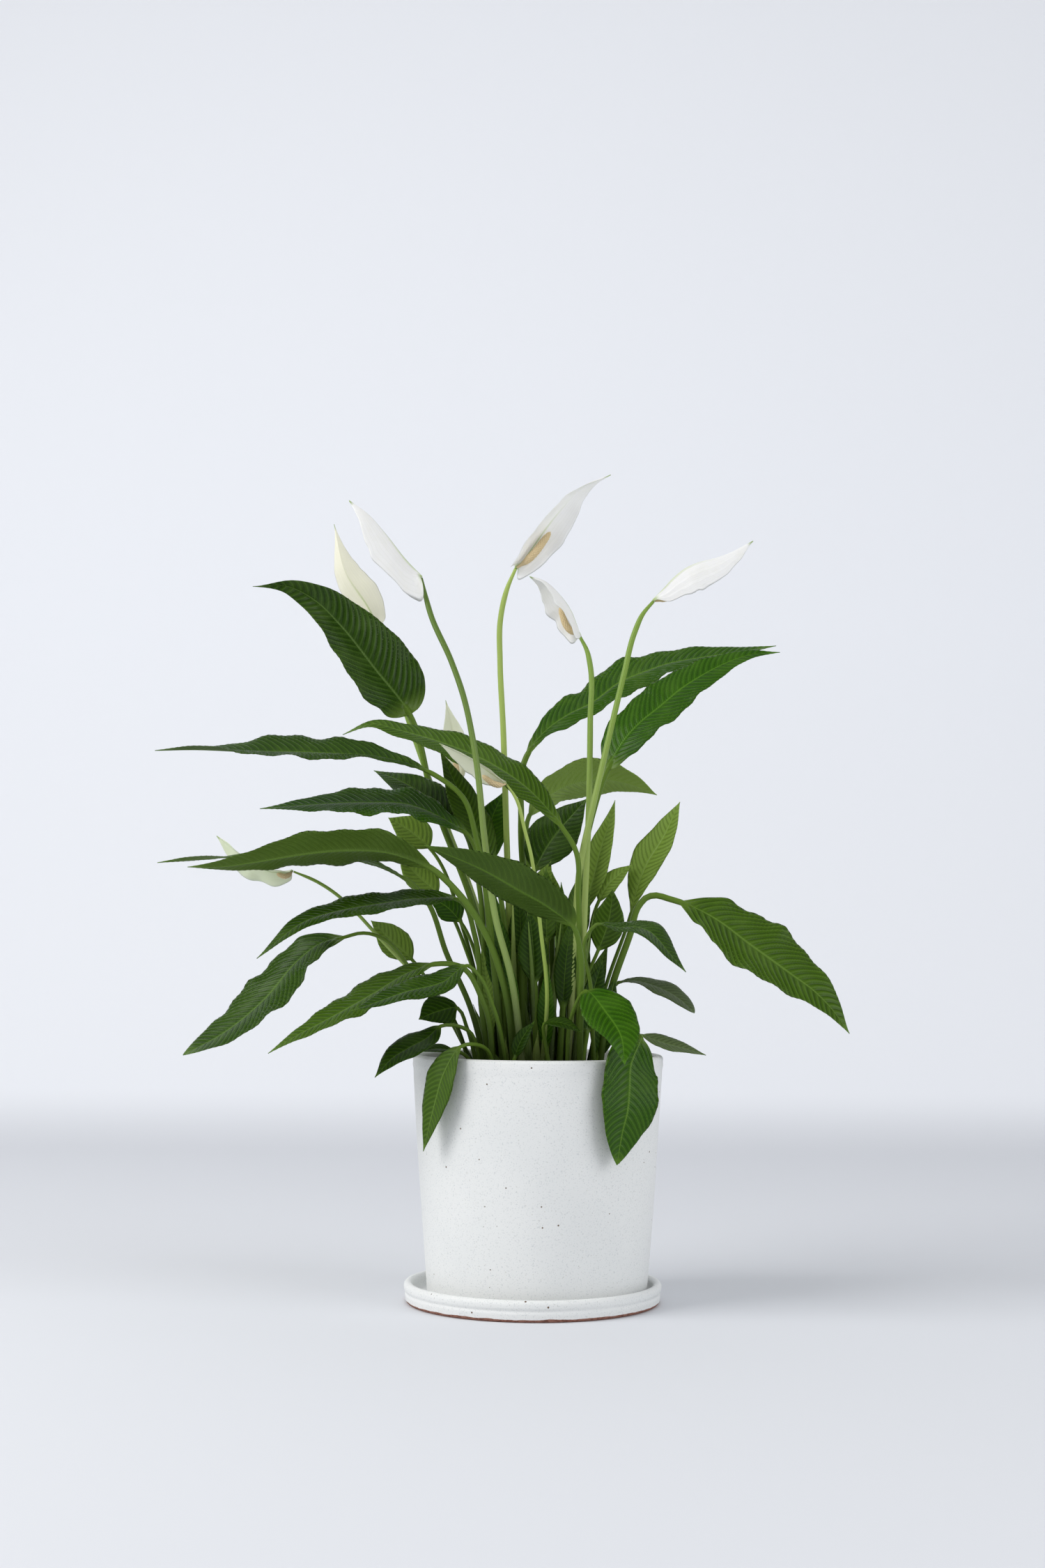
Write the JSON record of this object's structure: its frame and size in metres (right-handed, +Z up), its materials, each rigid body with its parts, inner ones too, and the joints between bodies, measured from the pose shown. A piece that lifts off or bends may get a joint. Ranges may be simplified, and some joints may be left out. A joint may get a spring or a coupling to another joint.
{
  "type": "potted peace lily",
  "caption": "Flowering peace lily with long arching leaves and white hooded flowers, in a round tapered ceramic pot on a matching saucer.",
  "frame": {"origin": "middle of the saucer's flat underside, on the surface it stands on", "axes": "+Z up; -Y towards the viewer of the front, where the leaves are fullest; +X to the viewer's right"},
  "size_m": [0.5733, 0.368, 0.7004],
  "materials": {
    "pot_glaze": "matte",
    "saucer_glaze": "matte",
    "soil": "matte",
    "leaf": "satin",
    "flower_stalk": "satin",
    "spathe": "matte",
    "spadix": "matte"
  },
  "bodies": {
    "root": {"ceramic_pot": "pot_glaze", "drip_saucer": "saucer_glaze", "flower_centre_spadix": "spadix", "flower_centre_spathe": "spathe", "flower_centre_stalk": "flower_stalk", "flower_cream_left_spadix": "spadix", "flower_cream_left_spathe": "spathe", "flower_cream_left_stalk": "flower_stalk", "flower_faded_spadix": "spadix", "flower_faded_spathe": "spathe", "flower_faded_stalk": "flower_stalk", "flower_folded_spadix": "spadix", "flower_folded_spathe": "spathe", "flower_folded_stalk": "flower_stalk", "flower_right_spadix": "spadix", "flower_right_spathe": "spathe", "flower_right_stalk": "flower_stalk", "flower_small_back_spadix": "spadix", "flower_small_back_spathe": "spathe", "flower_small_back_stalk": "flower_stalk", "flower_tall_left_spadix": "spadix", "flower_tall_left_spathe": "spathe", "flower_tall_left_stalk": "flower_stalk", "flower_top_centre_spadix": "spadix", "flower_top_centre_spathe": "spathe", "flower_top_centre_stalk": "flower_stalk", "leaf_back_left": "leaf", "leaf_back_right": "leaf", "leaf_big_right": "leaf", "leaf_bright_left": "leaf", "leaf_bright_right": "leaf", "leaf_crossing": "leaf", "leaf_dark_left": "leaf", "leaf_dark_low_left": "leaf", "leaf_dark_middle": "leaf", "leaf_droop_left": "leaf", "leaf_front_centre": "leaf", "leaf_front_left": "leaf", "leaf_glossy_right": "leaf", "leaf_high_left": "leaf", "leaf_light_back": "leaf", "leaf_long_low_left": "leaf", "leaf_middle_left": "leaf", "leaf_over_rim_back": "leaf", "leaf_over_rim_left": "leaf", "leaf_over_rim_right": "leaf", "leaf_pale_right": "leaf", "leaf_rim_left": "leaf", "leaf_rim_right": "leaf", "leaf_round_low_left": "leaf", "leaf_second_right": "leaf", "leaf_small_dark": "leaf", "leaf_small_light": "leaf", "leaf_thread_left": "leaf", "leaf_top_left": "leaf", "leaf_top_right": "leaf", "leaf_upright_left": "leaf", "leaf_upright_middle": "leaf", "leaf_upright_right": "leaf", "potting_soil": "soil"}
  },
  "joints": []
}
